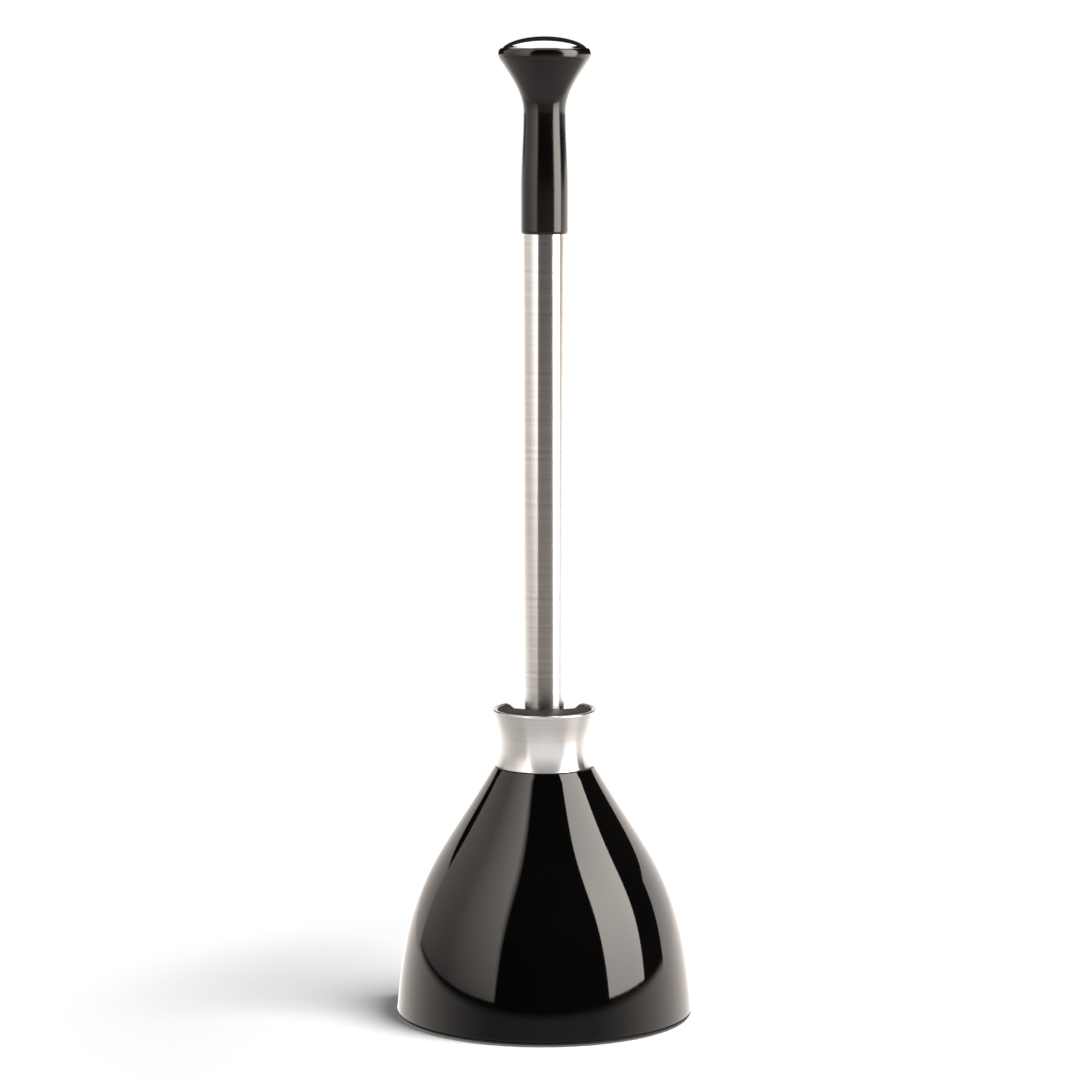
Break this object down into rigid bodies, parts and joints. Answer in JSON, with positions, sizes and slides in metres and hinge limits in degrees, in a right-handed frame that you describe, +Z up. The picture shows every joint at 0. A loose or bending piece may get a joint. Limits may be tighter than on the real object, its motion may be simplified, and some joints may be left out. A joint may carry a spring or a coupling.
{
  "type": "toilet plunger with caddy",
  "caption": "Rubber bell plunger on a steel rod with a flared grip, standing in an open-backed domed caddy whose magnetic collar holds the rod.",
  "frame": {"origin": "on the floor, at the centre of the caddy's round base", "axes": "+Z up along the rod, -Y towards the caddy's closed front, +Y out of its open back, +X to the right seen from the front"},
  "size_m": [0.176, 0.176, 0.58],
  "materials": {
    "gloss_black": "injection-moulded gloss black plastic",
    "matte_black": "fine-textured matte black plastic",
    "foot_rubber": "soft matte rubber pad",
    "head_rubber": "moulded black rubber, satin",
    "brushed_steel": "brushed ferritic stainless steel",
    "polished_steel": "polished stainless steel",
    "plated_steel": "zinc-plated steel",
    "nickel_plating": "bright nickel plating"
  },
  "bodies": {
    "caddy": {"caddy_dome": "gloss_black", "base_tray": "matte_black", "rubber_foot_1": "foot_rubber", "rubber_foot_2": "foot_rubber", "rubber_foot_3": "foot_rubber", "rubber_foot_4": "foot_rubber", "base_screw_1": "plated_steel", "base_screw_2": "plated_steel", "base_screw_3": "plated_steel", "base_screw_4": "plated_steel", "collar_ring": "brushed_steel", "collar_liner": "matte_black", "magnet_lower": "nickel_plating", "magnet_upper": "nickel_plating", "magnet_keeper": "plated_steel", "collar_screw_left": "plated_steel", "collar_screw_right": "plated_steel"},
    "head": {"rubber_head": "head_rubber"},
    "handle": {"rod_tube": "brushed_steel", "head_adapter": "matte_black", "head_washer": "plated_steel", "head_screw": "plated_steel", "rod_top_plug": "matte_black", "grip": "gloss_black", "grip_screw": "plated_steel", "grip_cap": "polished_steel"}
  },
  "joints": [
    {"name": "pull_out", "type": "slide", "parent": "caddy", "child": "head", "axis": [0, 1, 0], "range_m": [0, 0.2]},
    {"name": "bell_squash", "type": "slide", "parent": "head", "child": "handle", "axis": [0, 0, -1], "range_m": [0, 0.03], "stiffness_N_per_m": 2000, "springref_m": -0.005, "deforming": ["rubber_head"]}
  ]
}
